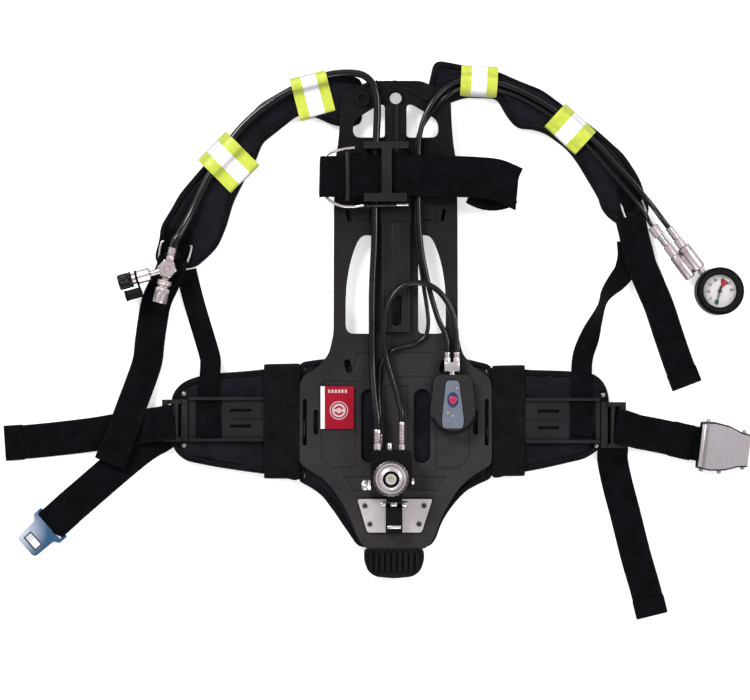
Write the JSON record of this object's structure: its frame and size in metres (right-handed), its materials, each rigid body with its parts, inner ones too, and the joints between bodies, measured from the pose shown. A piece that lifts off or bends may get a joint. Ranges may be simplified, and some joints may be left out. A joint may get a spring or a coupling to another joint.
{
  "type": "breathing apparatus",
  "caption": "Backplate and padded harness of a breathing apparatus with reducer, hoses, couplings, alarm device, gauge and waist buckle, laid out flat.",
  "frame": {"origin": "centre of the laid-out set at floor level", "axes": "+X along the waist belt towards the gauge and buckle, +Y up the back towards the shoulder straps, +Z away from the wearer"},
  "size_m": [0.8995, 0.6701, 0.0775],
  "materials": {
    "plate": "moulded, light grain",
    "black_rubber": "smooth",
    "pad_fabric": "woven",
    "webbing": "ribbed weave",
    "bands": "reflective",
    "steel": "satin",
    "black_metal": "satin",
    "name_plate": "printed",
    "brass": "sintered",
    "device": "satin",
    "device_label": "printed",
    "lamps": "clear",
    "button": "smooth",
    "dial": "printed",
    "lens": "clear",
    "buckle": "brushed",
    "tongue": "anodised"
  },
  "bodies": {
    "harness": {"backplate": "plate", "bumper_foot": "black_rubber", "lumbar_pad": "pad_fabric", "strap_keeper": "plate", "cylinder_strap": "webbing", "strap_ring": "steel", "bracket_plate": "steel", "bracket_fasteners": "steel", "bracket_block": "black_metal", "name_plate": "name_plate", "reducer_body": "black_metal", "inlet_filter": "brass", "inlet_seal": "black_rubber", "relief_valve": "steel", "reducer_plugs": "steel", "hose_ends": "steel", "mp_hose": "black_rubber", "link_hose": "black_rubber", "gauge_hose": "black_rubber", "whistle_hose": "black_rubber", "device_case": "device", "device_label": "device_label", "device_lamps": "lamps", "device_tee": "steel", "shoulder_pad_left": "pad_fabric", "shoulder_pad_right": "pad_fabric", "bands_left": "bands", "bands_right": "bands", "strap_slides": "steel", "pull_strap_left": "webbing", "pull_strap_right": "webbing", "anchor_strap_left": "webbing", "anchor_strap_right": "webbing", "waist_pad_left": "pad_fabric", "waist_pad_right": "pad_fabric", "wing_left": "plate", "wing_right": "plate", "sleeves": "pad_fabric", "adjusters": "plate", "wing_rivets": "steel", "belt_tail_left": "webbing", "tongue_strap": "webbing", "belt_right": "webbing", "belt_tail_right": "webbing", "tee_block": "steel", "coupler_bodies": "steel", "gauge_manifold": "steel", "gauge_case": "black_rubber", "gauge_lens": "lens", "buckle_base": "buckle", "buckle_pin": "steel", "buckle_spring": "steel"},
    "handwheel": {"handwheel": "steel"},
    "alarm_button": {"device_button": "button"},
    "sleeve_upper": {"sleeve_upper": "black_metal"},
    "sleeve_lower": {"sleeve_lower": "steel"},
    "dust_cap": {"dust_cap": "black_rubber"},
    "gauge_needle": {"gauge_needle": "dial"},
    "buckle_flap": {"buckle_flap": "buckle"},
    "buckle_tongue": {"buckle_tongue": "tongue"}
  },
  "joints": [
    {"name": "handwheel_spin", "type": "hinge", "parent": "harness", "child": "handwheel", "pos_m": [0.0166, -0.1616, 0.056], "axis": [0, 0, 1], "continuous": true},
    {"name": "button_press", "type": "slide", "parent": "harness", "child": "alarm_button", "axis": [0, 0, -1], "range_m": [0, 0.0008], "stiffness_N_per_m": 400, "springref_m": -0.0005},
    {"name": "needle_turn", "type": "hinge", "parent": "harness", "child": "gauge_needle", "pos_m": [0.4106, 0.0604, 0.015], "axis": [0, 0, -1], "range_deg": [0, 250], "stiffness_Nm_per_rad": 0.0005, "springref_deg": -11.46},
    {"name": "sleeve_upper_slide", "type": "slide", "parent": "harness", "child": "sleeve_upper", "axis": [0.9613, 0.2756, 0], "range_m": [0, 0.0035], "stiffness_N_per_m": 600, "springref_m": -0.002},
    {"name": "sleeve_lower_slide", "type": "slide", "parent": "harness", "child": "sleeve_lower", "axis": [0.2419, 0.9703, 0], "range_m": [0, 0.0035], "stiffness_N_per_m": 600, "springref_m": -0.002},
    {"name": "dust_cap_swing", "type": "hinge", "parent": "harness", "child": "dust_cap", "pos_m": [-0.28593, 0.07593, 0.0275], "axis": [-0.9613, -0.2756, 0], "range_deg": [0, 120]},
    {"name": "buckle_flap_lift", "type": "hinge", "parent": "harness", "child": "buckle_flap", "pos_m": [0.39476, -0.12492, 0.0105], "axis": [-0.1219, -0.9925, 0], "range_deg": [0, 70], "stiffness_Nm_per_rad": 0.05, "springref_deg": -22.92},
    {"name": "buckle_tongue_lift", "type": "hinge", "parent": "harness", "child": "buckle_tongue", "pos_m": [-0.3904, -0.2191, 0.006], "axis": [-0.6691, 0.7431, 0], "range_deg": [0, 80]}
  ]
}
